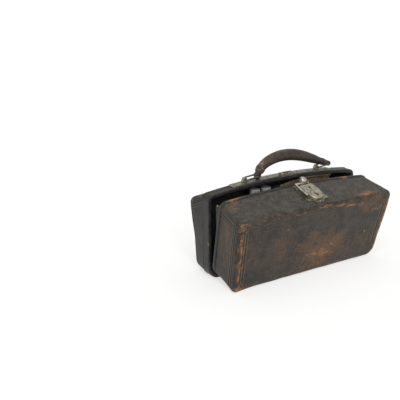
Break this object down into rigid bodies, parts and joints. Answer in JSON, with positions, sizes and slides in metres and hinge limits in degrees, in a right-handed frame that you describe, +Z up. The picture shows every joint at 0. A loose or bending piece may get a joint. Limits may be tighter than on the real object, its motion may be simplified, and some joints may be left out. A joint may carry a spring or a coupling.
{
  "type": "medical satchel",
  "caption": "Long leather case in two halves hinged along the bottom, with a sprung latch, a top handle on rings and a rack of vials inside.",
  "frame": {"origin": "centre of the flat bottom of the back half, on the table it stands on", "axes": "+X along the length, +Y from the lid towards the back half, +Z up"},
  "size_m": [0.2766, 0.1276, 0.1694],
  "materials": {
    "case_leather": "worn dark leather with tan scuffs",
    "band_leather": "smooth black leather",
    "wing_leather": "stiff dark leather, edges worn",
    "flap_leather": "wrinkled brown leather",
    "grip_leather": "smooth dark brown leather",
    "worn_leather": "tan worn leather",
    "board": "pressed board",
    "lining_cloth": "black cloth",
    "rack_wood": "stained wood",
    "steel": "plain steel",
    "aged_nickel": "aged nickel plate",
    "bright_metal": "nickel polished by use",
    "cap_metal": "bright metal caps",
    "glass": "clear glass"
  },
  "bodies": {
    "back": {"back_board": "board", "back_cover": "case_leather", "back_frame": "steel", "back_lining": "lining_cloth", "back_rim_band": "band_leather", "flap_studs": "aged_nickel", "handle_lug_left": "aged_nickel", "handle_lug_right": "aged_nickel", "hinge_back_leaf": "band_leather", "keeper": "aged_nickel", "plate_rivets": "aged_nickel", "rack_base": "rack_wood", "rack_post_left": "rack_wood", "rack_post_right": "rack_wood", "rack_strip": "rack_wood", "top_plate": "aged_nickel", "vial_1": "glass", "vial_2": "glass", "vial_3": "glass", "vial_4": "glass", "vial_5": "glass", "vial_6": "glass", "vial_7": "glass", "vial_cap_1": "cap_metal", "vial_cap_2": "cap_metal", "vial_cap_3": "cap_metal", "vial_cap_4": "cap_metal", "vial_cap_5": "cap_metal", "vial_cap_6": "cap_metal", "vial_cap_7": "cap_metal", "vial_flap": "flap_leather"},
    "lid": {"hinge_front_leaf": "band_leather", "latch_ears": "aged_nickel", "latch_spring": "steel", "lid_binding": "band_leather", "lid_board": "board", "lid_cover": "case_leather", "lid_frame": "steel", "lid_lining": "lining_cloth", "lid_wing_left": "wing_leather", "lid_wing_right": "wing_leather", "lock_case": "aged_nickel", "lock_plate": "aged_nickel", "lock_rivets": "aged_nickel", "slide_rails": "aged_nickel"},
    "latch": {"latch": "bright_metal"},
    "release_slide": {"release_slide": "aged_nickel"},
    "ring_left": {"ring_left": "aged_nickel"},
    "ring_right": {"ring_right": "aged_nickel"},
    "handle": {"handle_collar_left": "worn_leather", "handle_collar_right": "worn_leather", "handle_core": "steel", "handle_grip": "grip_leather"}
  },
  "joints": [
    {"name": "lid_hinge", "type": "hinge", "parent": "back", "child": "lid", "pos_m": [0, -0.0255, 0.0075], "axis": [1, 0, 0], "range_deg": [-11.3, 75]},
    {"name": "latch_pivot", "type": "hinge", "parent": "lid", "child": "latch", "pos_m": [0.003, -0.05769, 0.1294], "axis": [-1, 0, 0], "range_deg": [0, 12], "stiffness_Nm_per_rad": 0.02, "springref_deg": -11.46},
    {"name": "release_slide_travel", "type": "slide", "parent": "lid", "child": "release_slide", "axis": [0, -0.9423, -0.3348], "range_m": [0, 0.004], "stiffness_N_per_m": 150, "springref_m": -0.002},
    {"name": "ring_left_swing", "type": "hinge", "parent": "back", "child": "ring_left", "pos_m": [-0.0675, -0.011, 0.13482], "axis": [0, -1, 0], "range_deg": [0, 168]},
    {"name": "ring_right_swing", "type": "hinge", "parent": "back", "child": "ring_right", "pos_m": [0.0675, -0.011, 0.13482], "axis": [0, -1, 0], "range_deg": [0, 168]},
    {"name": "handle_swing", "type": "hinge", "parent": "ring_left", "child": "handle", "pos_m": [-0.04463, -0.011, 0.13722], "axis": [0, -1, 0], "range_deg": [-168, 0]}
  ],
  "couplings": [
    {"joint": "ring_right_swing", "follows": "ring_left_swing", "ratio": 1},
    {"joint": "handle_swing", "follows": "ring_left_swing", "ratio": -1}
  ]
}
